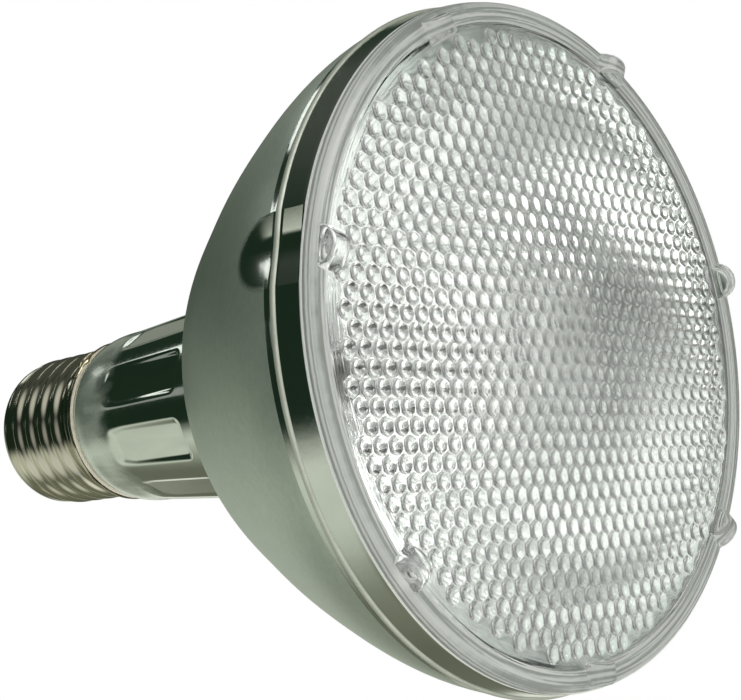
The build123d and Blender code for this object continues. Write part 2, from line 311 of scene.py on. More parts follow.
def dull(name, colour, other, rough=(0.6, 0.9), scale=400.0, bump=0.00008, spec=0.35):
    s = Nodes(name)
    b = s.principled()
    b.inputs["Specular IOR Level"].default_value = spec
    vec = s.coords()
    fine = s.noise(vec, scale, 6.0, 0.65)
    wide = s.noise(vec, scale * 0.2, 4.0)
    s.link(s.ramp(wide, (0.3, other), (0.7, colour)), b.inputs["Base Color"])
    s.link(s.span(fine, *rough), b.inputs["Roughness"])
    s.link(s.bump(fine, 0.6, bump), b.inputs["Normal"])
    return s.mat


def tongues(s):
    """Share of bare glass where the frosting stops short of three rim marks."""
    c = s.add("ShaderNodeTexCoord").outputs["Object"]
    out = None
    for k in range(3):
        a = rad(-69.3 + 120.0 * k)
        m = s.add("ShaderNodeMapping", vector_type="TEXTURE")
        m.inputs["Location"].default_value = (0, 0, (10.4 - LIFT) * MM)
        m.inputs["Rotation"].default_value = (0, 0, a)
        m.inputs["Scale"].default_value = (0.047, 0.0049, 0.0071)
        s.link(c, m.inputs["Vector"])
        xyz = s.add("ShaderNodeSeparateXYZ")
        s.link(m.outputs["Vector"], xyz.inputs["Vector"])
        flat = s.add("ShaderNodeCombineXYZ")
        s.link(xyz.outputs["Y"], flat.inputs["Y"])
        s.link(xyz.outputs["Z"], flat.inputs["Z"])
        far = s.add("ShaderNodeVectorMath", operation="LENGTH")
        s.link(flat.outputs["Vector"], far.inputs[0])
        near = s.add("ShaderNodeMapRange", interpolation_type="SMOOTHSTEP")
        near.inputs["From Min"].default_value = 1.08
        near.inputs["From Max"].default_value = 0.86
        s.link(far.outputs["Value"], near.inputs["Value"])
        side = s.add("ShaderNodeMath", operation="GREATER_THAN")
        s.link(xyz.outputs["X"], side.inputs[0])
        side.inputs[1].default_value = 0.0
        both = s.add("ShaderNodeMath", operation="MULTIPLY")
        s.link(near.outputs["Result"], both.inputs[0])
        s.link(side.outputs["Value"], both.inputs[1])
        if out is None:
            out = both.outputs["Value"]
        else:
            top = s.add("ShaderNodeMath", operation="MAXIMUM")
            s.link(out, top.inputs[0])
            s.link(both.outputs["Value"], top.inputs[1])
            out = top.outputs["Value"]
    return out


def blend(s, fac, a, b, colour=True):
    n = s.add("ShaderNodeMix", data_type="RGBA" if colour else "FLOAT")
    i, j = (6, 7) if colour else (2, 3)
    s.link(fac, n.inputs[0])
    for k, v in ((i, a), (j, b)):
        if hasattr(v, "links"):
            s.link(v, n.inputs[k])
        else:
            n.inputs[k].default_value = (*v, 1) if colour else v
    return n.outputs[2 if colour else 0]


def height(s, lo, hi, shift=None):
    """0 below one drawing height, 1 above another."""
    c = s.add("ShaderNodeTexCoord")
    xyz = s.add("ShaderNodeSeparateXYZ")
    s.link(c.outputs["Object"], xyz.inputs["Vector"])
    n = s.add("ShaderNodeMapRange", interpolation_type="SMOOTHSTEP")
    n.inputs["From Min"].default_value = (lo - LIFT) * MM
    n.inputs["From Max"].default_value = (hi - LIFT) * MM
    z = xyz.outputs["Z"]
    if shift is not None:
        add = s.add("ShaderNodeMath", operation="ADD")
        s.link(z, add.inputs[0])
        s.link(shift, add.inputs[1])
        z = add.outputs["Value"]
    s.link(z, n.inputs["Value"])
    return n.outputs["Result"]


def satin_bowl(name):
    """Aluminised bowl seen through its frosted outside."""
    s = Nodes(name)
    b = s.principled()
    vec = s.coords()
    cloud = s.noise(vec, 45.0, 4.0, 0.5, 0.3)
    fine = s.noise(vec, 2600.0, 3.0)
    bare = tongues(s)
    grain = s.noise(vec, 1100.0, 6.0, 0.7)
    tone = s.add("ShaderNodeMix", data_type="FLOAT")
    tone.inputs[0].default_value = 0.5
    s.link(cloud, tone.inputs[2])
    s.link(grain, tone.inputs[3])
    satin = s.ramp(tone.outputs[0], (0.32, (0.37, 0.43, 0.36)), (0.68, (0.50, 0.57, 0.49)))
    s.link(blend(s, bare, s.span(cloud, 0.58, 0.66), 1.0, False), b.inputs["Metallic"])
    s.link(blend(s, bare, satin, (0.50, 0.53, 0.48)), b.inputs["Base Color"])
    s.link(blend(s, bare, s.span(cloud, 0.36, 0.44), 0.13, False), b.inputs["Roughness"])
    s.link(s.bump(fine, 0.25, 0.000005), b.inputs["Normal"])
    return s.mat


def bright_band(name):
    """Clear pressed glass over the mirror, smooth and a little seedy."""
    s = Nodes(name)
    b = s.principled(Metallic=1.0)
    vec = s.coords()
    wide = s.noise(vec, 90.0, 3.0)
    seed = s.noise(vec, 1500.0, 2.0)
    s.link(s.ramp(wide, (0.3, (0.48, 0.52, 0.47)), (0.7, (0.54, 0.57, 0.52))), b.inputs["Base Color"])
    s.link(s.span(seed, 0.07, 0.13), b.inputs["Roughness"])
    s.link(s.bump(seed, 0.35, 0.000012, s.bump(wide, 0.4, 0.00006)), b.inputs["Normal"])
    return s.mat


def frosted_bead(name):
    """Mould bead, worn to a pale satin."""
    s = Nodes(name)
    b = s.principled()
    vec = s.coords()
    cloud = s.noise(vec, 300.0, 4.0)
    fine = s.noise(vec, 1800.0, 3.0)
    s.link(s.ramp(cloud, (0.3, (0.43, 0.46, 0.39)), (0.7, (0.53, 0.56, 0.48))), b.inputs["Base Color"])
    s.link(s.span(cloud, 0.30, 0.42), b.inputs["Metallic"])
    s.link(s.span(fine, 0.38, 0.52), b.inputs["Roughness"])
    s.link(s.bump(fine, 0.3, 0.00001), b.inputs["Normal"])
    return s.mat


def neck_glass(name):
    """Mirrored neck, with the coating running out in the clear collar."""
    s = Nodes(name)
    b = s.principled(Coat_Weight=0.5, Coat_Roughness=0.04)
    vec = s.coords()
    streak = s.noise(s.coords((1, 1, 0.25)), 260.0, 3.0, 0.5, 0.4)
    fine = s.noise(vec, 900.0, 3.0)
    ragged = s.noise(s.coords((1, 1, 0.6)), 330.0, 3.0, 0.6, 0.6)
    up = height(s, 83.0, 88.0, s.span(ragged, -0.0014, 0.0014))
    coat = s.ramp(streak, (0.3, (0.45, 0.49, 0.43)), (0.7, (0.52, 0.56, 0.49)))
    clear = s.ramp(streak, (0.22, (0.27, 0.32, 0.26)), (0.5, (0.50, 0.56, 0.48)), (0.78, (0.72, 0.77, 0.67)))
    s.link(blend(s, up, coat, clear), b.inputs["Base Color"])
    s.link(blend(s, up, 1.0, 0.45, False), b.inputs["Metallic"])
    s.link(blend(s, up, s.span(fine, 0.07, 0.13), s.span(ragged, 0.16, 0.34), False), b.inputs["Roughness"])
    s.link(s.bump(streak, 0.3, 0.00004), b.inputs["Normal"])
    return s.mat


def mirror_coat(name):
    s = Nodes(name)
    b = s.principled(Metallic=1.0)
    vec = s.coords()
    wide = s.noise(vec, 60.0, 3.0)
    fine = s.noise(vec, 700.0, 4.0)
    s.link(s.ramp(wide, (0.3, (0.86, 0.88, 0.87)), (0.7, (0.92, 0.93, 0.92))), b.inputs["Base Color"])
    s.link(s.span(fine, 0.05, 0.10), b.inputs["Roughness"])
    s.link(s.bump(wide, 0.3, 0.00006), b.inputs["Normal"])
    return s.mat


GLASS_LENS = clear_glass("pressed_clear_glass", wave=0.000006, rings=0.0)
GLASS_EDGE = edge_glass("fire_polished_edge")
BONDED = bonded_face("bonded_flange")
BOWL = satin_bowl("satin_bowl_glass")
BAND = bright_band("clear_rim_glass")
RIDGE = frosted_bead("frosted_bead_glass")
NECK = neck_glass("panelled_neck_glass")
MIRROR = mirror_coat("mirror_coating")
NICKEL = metal("nickel_plate", (0.46, 0.45, 0.355), 0.06, 0.16, (1, 1, 30), 500.0, 0.000008)

# -------------------------------------------------------------- reflector body
NECK_R60, TAPER = 16.49, 0.0678
PANELS, PANEL_ANGLE = 9, -66.4
PANEL_Z0, PANEL_Z1, PANEL_W, PANEL_CORNER = 65.0, 85.2, 7.6, 1.7
PANEL_D0, PANEL_D1 = 0.72, 0.45


def neck_r(z):
    return NECK_R60 - TAPER * (z - 60.0)


def panelled(r, z, theta):
    """Sinks the nine panels into the outside of the neck."""
    period = TAU / PANELS
    local = (theta - rad(PANEL_ANGLE) + period / 2) % period - period / 2
    side = np.abs(r * np.sin(local)) - (PANEL_W / 2 - PANEL_CORNER)
    along = np.abs(z - (PANEL_Z0 + PANEL_Z1) / 2) - ((PANEL_Z1 - PANEL_Z0) / 2 - PANEL_CORNER)
    d = (np.hypot(np.maximum(side, 0), np.maximum(along, 0))
         + np.minimum(np.maximum(side, along), 0) - PANEL_CORNER)
    soft = 1.25 + 1.0 * step(80.0, 85.5, z)
    sunk = step(0.10, 0.10 - soft, d)
    p0, p1 = neck_r(PANEL_Z0) - PANEL_D0, neck_r(PANEL_Z1) - PANEL_D1
    floor = (p0 + (p1 - p0) * (z - PANEL_Z0) / (PANEL_Z1 - PANEL_Z0)) / np.cos(local)
    outside = np.abs(r - neck_r(z)) < 0.05
    return np.where(outside & (z > 62) & (z < 88), r + sunk * np.minimum(floor - r, 0), r), z


MARKS, MARK_ANGLE, MARK_HALF, MARK_LONG, MARK_Z = 3, -69.3, 4.85, 7.0, 10.4
MARK_DEPTH = 0.3      # of the outside
MARK_SEEN = 3.1       # of the dimple seen through the glass


def mark_place(r, theta):
    """Distance around the rim from the middle of the nearest recess."""
    period = TAU / MARKS
    local = (theta - rad(MARK_ANGLE) + period / 2) % period - period / 2
    return r * np.sin(local), np.abs(local) < rad(12)


def dish(x, z):
    """Depth of a recess, 0 at its edge and 1 in the middle."""
    far = np.hypot(x / MARK_HALF, np.maximum(z - MARK_Z, 0) / MARK_LONG)
    return np.where(far > 0.4, np.clip(1 - far, 0, 1) * 1.25, 1 - far**2 * 1.5625)


def on_rim(r, z):
    return (z < 18.0) & (r > np.where(z < 5.6, 46.5, 45.3))


def moulded(r, z, theta):
    """Panels of the neck and recesses across the rim."""
    r, z = panelled(r, z, theta)
    x, near = mark_place(r, theta)
    return np.where(on_rim(r, z) & near, r - MARK_DEPTH * dish(x, z), r), z


def column_angles():
    side = np.concatenate([np.linspace(-9.0, 9.0, 9)[:-1], np.linspace(9.0, 15.4, 16)[:-1],
                           np.linspace(15.4, 24.6, 6)[:-1], np.linspace(24.6, 31.0, 16)[:-1]])
    fine = np.concatenate([np.arange(0.0, 5.5, 0.6), [5.80, 5.87, 5.94, 6.4]])
    fine = MARK_ANGLE - PANEL_ANGLE + np.unique(np.concatenate([-fine, fine]))
    rows = []
    for k in range(PANELS):
        a = side
        if k % 3 == 0:
            a = np.concatenate([side[(side < fine[0] - 0.3) | (side > fine[-1] + 0.3)], fine])
        rows.append(PANEL_ANGLE + 40.0 * k + np.sort(a))
    return np.radians(np.concatenate(rows))


def dimple_normals(ob, rz, theta, ridge):
    """Turns the reflection inside each recess as the dimple under the glass does."""
    r, z = rz[:, :1], rz[:, 1:2]
    t = np.roll(rz, -1, axis=0) - np.roll(rz, 1, axis=0)
    t /= np.linalg.norm(t, axis=1)[:, None]
    x, near = mark_place(r, theta[None, :])
    e = 0.02
    dx = (dish(x + e, z) - dish(x - e, z)) / (2 * e) * MARK_SEEN
    ds = (dish(x, z + e) - dish(x, z - e)) / (2 * e) * MARK_SEEN * t[:, 1:2]
    steep = np.where(x > 0, 1.0, np.where(z > 9.8, 0.19, 0.42))
    dx, ds = dx * steep, ds * 0.5 * np.minimum(steep * 2, 1.0)
    far = np.hypot(x / MARK_HALF, np.maximum(z - MARK_Z, 0) / MARK_LONG)
    on = (on_rim(r, z) & near & (far < 1.0) & (z > 5.6)) & ~ridge[:, None]
    radial = t[:, 1:2] + ds * t[:, :1]
    axial = -t[:, :1] + ds * t[:, 1:2]
    c, s_ = np.cos(theta)[None, :], np.sin(theta)[None, :]
    n = np.stack([radial * c - dx * s_, radial * s_ + dx * c, axial + 0 * c], axis=-1)
    n /= np.linalg.norm(n, axis=-1)[..., None]
    n = np.where(on[..., None], n, 0.0).reshape(-1, 3)
    me = ob.data
    corner = np.empty(len(me.loops), np.int32)
    me.loops.foreach_get("vertex_index", corner)
    me.normals_split_custom_set(n[corner].tolist())


def reflector():
    rows, mats = [], []

    def put(points, mat):
        rows.append(np.asarray(points, float))
        mats.extend([mat] * len(points))

    put(run((44.2, 9.8), (44.2, 5.55), 4), 2)
    put(arc(44.45, 5.57, 0.25, 180, 270, 4)[:-1], 2)
    put(run((44.45, 5.32), (47.02, 5.32), 4), 2)
    put(arc(47.02, 5.47, 0.15, 270, 356, 5), 3)
    put(run((47.21, 5.66), (47.5, 8.95), 8), 3)
    put([(47.5, 8.98)], 4)
    put(arc(47.42, 9.45, 0.43, -78, 78, 11), 4)
    put([(47.5, 9.92)], 3)
    bowl = spline([(47.5, 9.95), (46.95, 14.0), (45.1, 19.9), (42.4, 26.0), (39.0, 32.7),
                   (35.1, 39.2), (31.0, 45.5), (27.0, 50.0), (23.0, 53.4), (19.4, 55.6),
                   (17.3, 57.4), (neck_r(61.0), 61.0)], (-0.03, 1), (-TAPER, 1), 400)
    pick = np.concatenate([np.linspace(0, 54, 17)[:-1], np.linspace(54, 399, 36)]).round().astype(int)
    for p in bowl[pick][1:-1]:
        put([p], 3 if p[1] < 10.6 else 0 if p[1] < 55.2 else 1)
    z = np.concatenate([np.linspace(61, 64.4, 4)[:-1], np.linspace(64.4, 66.6, 13)[:-1],
                        np.linspace(66.6, 69.0, 5)[:-1], np.linspace(69, 80, 8)[:-1],
                        np.linspace(80.0, 86.0, 15)])
    put(np.column_stack([neck_r(z), z]), 1)
    collar = spline([(neck_r(86.5), 86.5), (14.62, 89.5), (14.2, 92.6), (13.3, 94.9)], (-TAPER, 1), (-0.6, 1), 12)
    put(collar, 1)
    put([(12.7, 95.6), (12.1, 96.3), (11.2, 97.35), (10.5, 98.2), (10.5, 101.0), (10.5, 103.8), (10.3, 104.0)], 1)
    put([(9.2, 104.0), (9.0, 103.8), (9.0, 101.0), (9.0, 98.4), (9.9, 97.0)], 1)
    put([(10.9, 95.6), (11.7, 93.5), (12.3, 91.5), (12.4, 89.0)], 2)
    put(run((12.45, 87.0), (14.3, 61.0), 8), 2)
    inner = spline([(14.3, 61.0), (14.9, 56.6), (17.0, 53.9), (20.0, 51.9), (23.5, 49.4), (27.0, 46.2),
                    (31.0, 41.4), (35.0, 35.2), (38.6, 29.0), (41.6, 22.4), (43.5, 15.6), (44.2, 9.8)],
                   (0.02, -1), (0.01, -1), 34)
    put(inner[1:-1], 2)
    rz = np.vstack(rows)
    theta = column_angles()
    v, q = lathe(rz, theta, moulded)
    index = np.repeat(np.array(mats), len(theta))
    ob = make("pressed_reflector", v, outward(v, q), [BOWL, NECK, MIRROR, BAND, RIDGE], index, 50)
    dimple_normals(ob, rz, theta, (rz[:, 1] > 8.9) & (rz[:, 1] < 9.97) & (rz[:, 0] > 47.0))
    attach(ob, "root")
    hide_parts("reflector_body")
    return ob


# ------------------------------------------------------------------ front lens
LUGS, LUG_ANGLE, LUG_W, LUG_H, LUG_R0, LUG_R1 = 7, -69.9, 5.3, 2.15, 43.1, 46.3
LUG_RHO = (LUG_W**2 / 4 + LUG_H**2) / (2 * LUG_H)
DOT_PITCH, DOT_ROW, DOT_R, DOT_H, DOT_EDGE = 2.65, 98.11, 1.28, 0.48, 42.95


def crown(r):
    """How far the faces of the lens drop from the middle to the ring."""
    return 0.7 * (np.minimum(r, 43.4) / 43.4) ** 2


def lens_front(r, theta):
    """Height of the outer face, lugs included."""
    base = 2.3 + crown(r)
    base = np.where(r > 45.4, 3.0 + 0.95 * (1 - np.sqrt(np.clip(1 - ((r - 45.4) / 1.45) ** 2, 0, 1))), base)
    ripple = np.zeros_like(r)
    for size, wave, phase in ((0.012, 0.62, 0.3), (0.009, 0.41, 1.9), (0.006, 0.29, 4.0), (0.010, 1.05, 2.2)):
        ripple += size * np.sin(TAU * r / wave + phase)
    base = base + ripple * step(42.9, 43.3, r) * step(46.7, 46.3, r)
    period = TAU / LUGS
    local = (theta - rad(LUG_ANGLE) + period / 2) % period - period / 2
    u = np.minimum(np.abs(r * np.sin(local)), LUG_RHO)
    top = LIFT + LUG_RHO - np.sqrt(np.clip(LUG_RHO**2 - u**2, 0, None))
    inside = np.minimum(r - LUG_R0, LUG_R1 - r)
    ends = 0.7 - np.sqrt(np.clip(0.49 - (0.7 - np.clip(inside, 0, 0.7)) ** 2, 0, None))
    lug = np.where(inside > 0, top + ends, 9.0)
    return np.minimum(base, np.where(np.abs(local) < 0.2, lug, 9.0))


def front_lens():
    # angles, dense across each lug
    edge = np.concatenate([np.linspace(-3.9, -2.4, 8)[:-1], np.linspace(-2.4, 2.4, 11)[:-1],
                           np.linspace(2.4, 3.9, 8)[:-1], np.linspace(3.9, 360 / 7 - 3.9, 61)[:-1]])
    theta = np.radians(np.concatenate([LUG_ANGLE + 360 / 7 * k + edge for k in range(LUGS)]))
    m = len(theta)
    radii = np.concatenate([np.linspace(6, 42, 7), [42.7, 43.07, 43.13, 43.2, 43.3, 43.4, 43.5],
                            np.arange(43.6, 46.15, 0.1), [46.18, 46.26, 46.32, 46.42, 46.54, 46.65, 46.74, 46.8, 46.84, 46.85]])
    rr = np.repeat(radii[:, None], m, axis=1)
    tt = np.repeat(theta[None, :], len(radii), axis=0)
    zz = lens_front(rr, tt)
    wall = [(46.93, 4.2), (47.04, 4.55), (47.13, 4.84), (47.09, 4.98), (46.9, 5.03), (46.0, 5.03), (45.0, 5.03),
            (44.3, 5.03), (44.1, 5.0), (43.85, 4.9), (43.7, 4.82)]
    for r, z in wall:
        rr = np.vstack([rr, np.full(m, r)])
        zz = np.vstack([zz, np.full(m, z)])
    v = np.stack([rr * np.cos(theta), rr * np.sin(theta), zz], axis=-1).reshape(-1, 3)
    rows = len(rr)
    i = np.arange(rows - 1)[:, None]
    j = np.arange(m)[None, :]
    j1 = (j + 1) % m
    quads = np.stack([i * m + j, (i + 1) * m + j, (i + 1) * m + j1, i * m + j1], axis=-1).reshape(-1, 4)
    tris = [np.column_stack([quads[:, 0], quads[:, 2], quads[:, 1]]), np.column_stack([quads[:, 0], quads[:, 3], quads[:, 2]])]
    verts = [v, [[0.0, 0.0, 2.3]]]
    hub = len(v)
    j = np.arange(m)
    tris.append(np.column_stack([np.full(m, hub), (j + 1) % m, j]))
    count = hub + 1

    # inner face: a hexagonal field of domed dots
    a1 = DOT_PITCH * np.array([math.cos(rad(DOT_ROW)), math.sin(rad(DOT_ROW))])
    a2 = DOT_PITCH * np.array([math.cos(rad(DOT_ROW + 60)), math.sin(rad(DOT_ROW + 60))])
    g = np.arange(-24, 25)
    gi, gj = np.meshgrid(g, g, indexing="ij")
    centres = gi.reshape(-1, 1) * a1 + gj.reshape(-1, 1) * a2
    keep = np.hypot(centres[:, 0], centres[:, 1]) < DOT_EDGE - DOT_R + 0.4
    centres = centres[keep]
    ang = np.radians(DOT_ROW + 30.0 * np.arange(12))
    dirs = np.column_stack([np.cos(ang), np.sin(ang)])
    hexr = np.where(np.arange(12) % 2 == 0, DOT_PITCH / 2, DOT_PITCH / math.sqrt(3))
    ball = (DOT_R**2 + DOT_H**2) / (2 * DOT_H)
    share = np.array([0.26, 0.52, 0.76, 0.93, 1.0])
    rho = share * DOT_R
    lift = np.sqrt(ball**2 - rho**2) - (ball - DOT_H)

    def inner_z(xy):
        return 4.1 + crown(np.hypot(xy[..., 0], xy[..., 1]))

    n = len(centres)
    tops = np.column_stack([centres, inner_z(centres) + DOT_H])
    ring_xy = centres[:, None, None, :] + rho[None, :, None, None] * dirs[None, None]
    ring_z = inner_z(ring_xy) + lift[None, :, None]
    rings = np.concatenate([ring_xy, ring_z[..., None]], axis=-1)
    hexes = centres[:, None, :] + hexr[None, :, None] * dirs[None]
    keys = np.round(hexes.reshape(-1, 2) * 2000).astype(np.int64)
    order, first, back = np.unique(keys, axis=0, return_index=True, return_inverse=True)
    hex_xy = hexes.reshape(-1, 2)[first]
    back = back.reshape(n, 12)
    top0 = count
    ring0 = top0 + n
    hex0 = ring0 + n * len(share) * 12
    verts += [tops, rings.reshape(-1, 3), np.column_stack([hex_xy, inner_z(hex_xy)])]
    k = np.arange(12)
    k1 = (k + 1) % 12
    cell = np.arange(n)[:, None]
    rid = lambda ring, kk: ring0 + (cell * len(share) + ring) * 12 + kk[None, :]
    flat = lambda *c: np.stack(np.broadcast_arrays(*c), axis=-1).reshape(-1, 3)
    tris.append(flat(top0 + cell, rid(0, k), rid(0, k1)))
    for ring in range(len(share) - 1):
        tris.append(flat(rid(ring, k), rid(ring + 1, k), rid(ring + 1, k1)))
        tris.append(flat(rid(ring, k), rid(ring + 1, k1), rid(ring, k1)))
    last = len(share) - 1
    tris.append(flat(rid(last, k), hex0 + back[:, k], hex0 + back[:, k1]))
    tris.append(flat(rid(last, k), hex0 + back[:, k1], rid(last, k1)))
    count = hex0 + len(hex_xy)

    # plain margin between the dots and the flange
    edges = np.sort(np.stack([back, np.roll(back, -1, axis=1)], axis=-1).reshape(-1, 2), axis=1)
    pairs, used = np.unique(edges, axis=0, return_counts=True)
    border = pairs[used == 1]
    ids = np.unique(border)
    local = {int(a): b for b, a in enumerate(ids)}
    circle0 = (rows - 1) * m
    circle = v[circle0:circle0 + m, :2]
    pts = [Vector(p) for p in np.vstack([hex_xy[ids], circle])]
    con = [(local[int(a)], local[int(b)]) for a, b in border]
    con += [(len(ids) + a, len(ids) + (a + 1) % m) for a in range(m)]
    out = delaunay_2d_cdt(pts, con, [], 0, 1e-7)
    ovs = np.array([[p.x, p.y] for p in out[0]])
    orig = [o[0] for o in out[3]]
    full = np.array([hex0 + ids[o] if o < len(ids) else circle0 + o - len(ids) for o in orig])
    faces = np.array([list(f) for f in out[2]])
    mid = ovs[faces].mean(axis=1)
    near = np.array([np.min(np.sum((centres - p) ** 2, axis=1)) for p in mid])
    every = gi.reshape(-1, 1) * a1 + gj.reshape(-1, 1) * a2
    nearest = np.array([np.min(np.sum((every - p) ** 2, axis=1)) for p in mid])
    faces = faces[near > nearest + 1e-9]
    tris.append(full[faces])
    verts = np.vstack(verts)
    tris = np.vstack(tris)
    span = np.hypot(verts[:, 0], verts[:, 1])[tris].min(axis=1)
    glued = (verts[:, 2][tris].min(axis=1) > 4.97) & (span > 44.0)
    ob = make("stippled_lens", verts, outward(verts, tris), [GLASS_LENS, GLASS_EDGE, BONDED],
              np.where(glued, 2, (span > 45.75) & (verts[:, 2][tris].min(axis=1) > 3.03)), 60)
    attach(ob, "root")
    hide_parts("front_lens")
    return ob


# ----------------------------------------------------------------- screw shell
PITCH, CREST, ROOT = 3.629, 13.15, 12.2


def threaded(r, z, theta):
    """Rolled thread on the outside of the shell, running out at both ends."""
    outside = r > 12.0
    phase = (z - 98.93) / PITCH - theta / TAU
    wave = (0.5 + 0.5 * np.cos(TAU * phase)) ** 0.9
    fade = step(98.3, 100.4, z) * step(115.4, 113.9, z)
    return np.where(outside, np.maximum(r, r + fade * (CREST - r) * wave), r), z


def screw_shell():
    theta = np.linspace(0, TAU, 241)[:-1]
    z = np.linspace(97.2, 115.4, 150)
    body = np.interp(z, [97.2, 98.2, 99.2, 113.9, 114.8, 115.4], [13.2, 12.55, ROOT, ROOT, 12.6, 12.74])
    rows = [np.array([(13.72, 95.38), (13.86, 95.30), (13.92, 95.4), (13.9, 95.7), (13.74, 96.1), (13.5, 96.55), (13.33, 96.9)]),
            np.column_stack([body, z]),
            arc(10.4, 115.52, 2.36, 2, 90, 14),
            np.array([(10.2, 117.88), (9.75, 117.85), (9.6, 117.75), (9.62, 117.6), (10.3, 117.56)]),
            arc(10.4, 115.52, 2.02, 86, 6, 8),
            np.array([(12.3, 115.0), (11.88, 114.2), (11.88, 109.0), (11.88, 104.0), (11.88, 99.3), (12.4, 98.1), (13.0, 97.0), (13.45, 96.0), (13.6, 95.5)])]
    rz = np.vstack(rows)

    def shape(r, z, t):
        r2, z2 = threaded(r, z, t)
        lip = step(96.7, 95.3, z)
        r2 = r2 + lip * 0.07 * wobble(t, 3, 16, 3)
        z2 = z2 + lip * 0.16 * np.clip(0.6 + wobble(t, 5, 22, 4), 0, 2)
        return r2, z2

    v, q = lathe(rz, theta, shape)
    ob = make("rolled_screw_shell", v, outward(v, q), [NICKEL], None, 45)
    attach(ob, "root")
    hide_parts("screw_shell")
    return ob


SOLDER = metal("flux_stained_solder", (0.84, 0.76, 0.52), 0.12, 0.30, (1, 1, 1), 500.0, 0.00005)


def solder_bead():
    """Drawn-out bead of solder over the mouth of the shell."""
    n, m = 48, 32
    v = np.linspace(0.0, math.pi, n)
    u = np.linspace(0.0, TAU, m + 1)[:-1]
    vv, uu = np.meshgrid(v[1:-1], u, indexing="ij")
    lump = 1.0 + 0.22 * np.sin(3.1 * np.cos(vv) + 0.6) + 0.12 * np.sin(7.3 * np.cos(vv) + 2.0)
    s_ = 3.5 * np.cos(vv)
    z = 95.95 + (0.92 * lump * np.sin(vv) * np.cos(uu) + 0.10 * s_)
    r = 13.66 + 0.50 * lump * np.sin(vv) * np.sin(uu) - 0.10 * (z - 95.9)
    a = rad(-35.6) + s_ / 13.7
    verts = np.stack([r * np.cos(a), r * np.sin(a), z], axis=-1).reshape(-1, 3)
    tips = []
    for c in (1.0, -1.0):
        t = rad(-35.6) + 3.5 * c / 13.7
        tips.append((13.66 * math.cos(t), 13.66 * math.sin(t), 95.95 + 0.35 * c))
    k = n - 2
    i, j = np.arange(k - 1)[:, None], np.arange(m)[None, :]
    j1 = (j + 1) % m
    q = np.stack([i * m + j, i * m + j1, (i + 1) * m + j1, (i + 1) * m + j], axis=-1).reshape(-1, 4)
    j = np.arange(m)
    tri = [np.column_stack([q[:, 0], q[:, 1], q[:, 2]]), np.column_stack([q[:, 0], q[:, 2], q[:, 3]]),
           np.column_stack([np.full(m, k * m), (j + 1) % m, j]),
           np.column_stack([np.full(m, k * m + 1), (k - 1) * m + j, (k - 1) * m + (j + 1) % m])]
    verts, tri = np.vstack([verts, tips]), np.vstack(tri)
    ob = make("side_solder_bead", verts, outward(verts, tri), [SOLDER])
    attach(ob, "root")
    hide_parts("side_solder")
    return ob


def cement_ring():
    """Basing cement, pressed out a little all round the mouth of the shell."""
    theta = np.linspace(0, TAU, 361)[:-1]
    rz = np.array([(10.52, 103.2), (10.52, 101.0), (10.52, 98.21), (11.3, 97.28), (12.12, 96.31), (12.7, 95.64), (13.2, 95.06),
                   (13.26, 94.86), (13.42, 94.72), (13.58, 94.70), (13.72, 94.78), (13.80, 94.94), (13.80, 95.14), (13.70, 95.29),
                   (13.62, 95.38), (13.5, 95.5), (13.2, 96.2), (12.9, 96.95), (11.83, 99.1), (11.83, 101.0), (11.83, 103.2), (11.2, 103.2)])

    def shape(r, z, t):
        out = step(95.3, 94.9, z) * step(13.22, 13.4, r)
        lump = np.clip(0.5 + 0.5 * wobble(t, 11, 40, 5), 0.0, 1.3)
        return r - out * 0.22 * (1 - lump), z + out * 0.30 * (1 - lump)

    v, q = lathe(rz, theta, shape)
    ob = make("basing_cement_ring", v, outward(v, q), [CEMENT], None, 60)
    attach(ob, "root")
    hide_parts("basing_cement")
    return ob


CEMENT = dull("basing_cement", (0.86, 0.82, 0.70), (0.70, 0.64, 0.50))
REFLECTOR = reflector()
LENS = front_lens()
SHELL = screw_shell()
BEAD = solder_bead()
CEMENT_RING = cement_ring()

